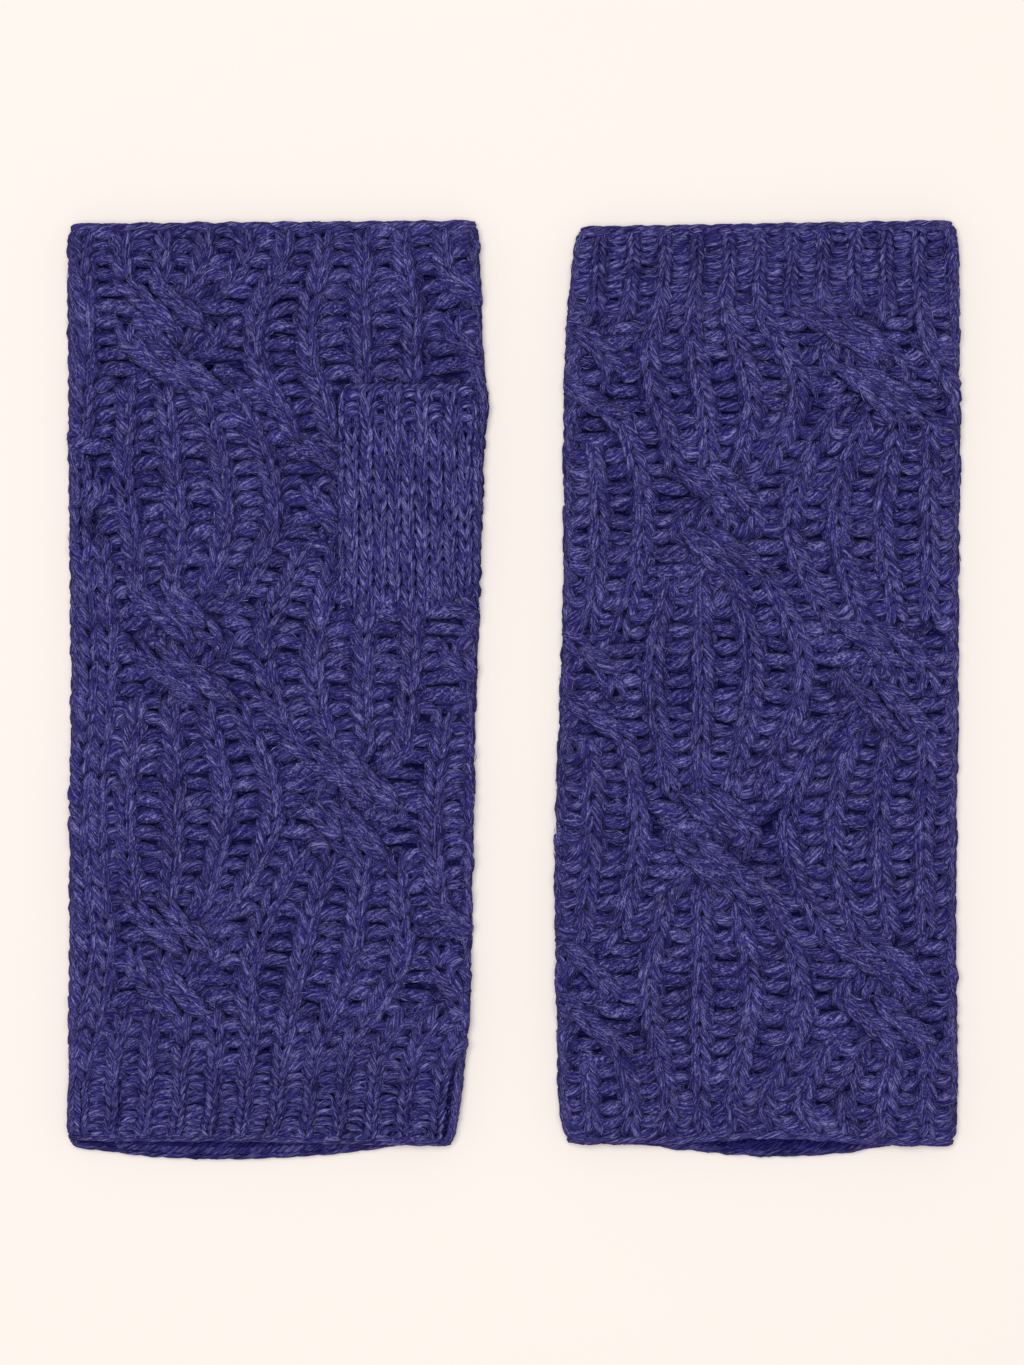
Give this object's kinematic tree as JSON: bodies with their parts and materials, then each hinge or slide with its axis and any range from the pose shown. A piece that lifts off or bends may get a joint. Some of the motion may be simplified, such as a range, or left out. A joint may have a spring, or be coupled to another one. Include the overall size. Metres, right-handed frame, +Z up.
{
  "type": "pair of fingerless mittens",
  "caption": "Pair of long cable-knit fingerless mittens in chunky indigo wool, laid flat side by side: ribbed cuffs, staggered rope cables, short open thumb tubes.",
  "frame": {"origin": "middle of the pair's bounding box, on the surface that the pair lies on", "axes": "+Z up off the surface, +Y along the mittens towards the right-hand mitten's finger end, +X from the right-hand mitten to the left-hand one"},
  "size_m": [0.2188, 0.2294, 0.011],
  "materials": {
    "indigo_wool": "chunky marled wool-blend yarn, knitted in rib and cables, with a soft halo"
  },
  "bodies": {
    "root": {"right_hand_palm": "indigo_wool", "right_hand_palm_cuff": "indigo_wool", "right_hand_back": "indigo_wool", "right_hand_back_cuff": "indigo_wool", "right_hand_thumb_outer": "indigo_wool", "right_hand_thumb_inner": "indigo_wool", "left_hand_back": "indigo_wool", "left_hand_back_cuff": "indigo_wool", "left_hand_palm": "indigo_wool", "left_hand_palm_cuff": "indigo_wool", "left_hand_thumb_outer": "indigo_wool", "left_hand_thumb_inner": "indigo_wool"}
  },
  "joints": []
}
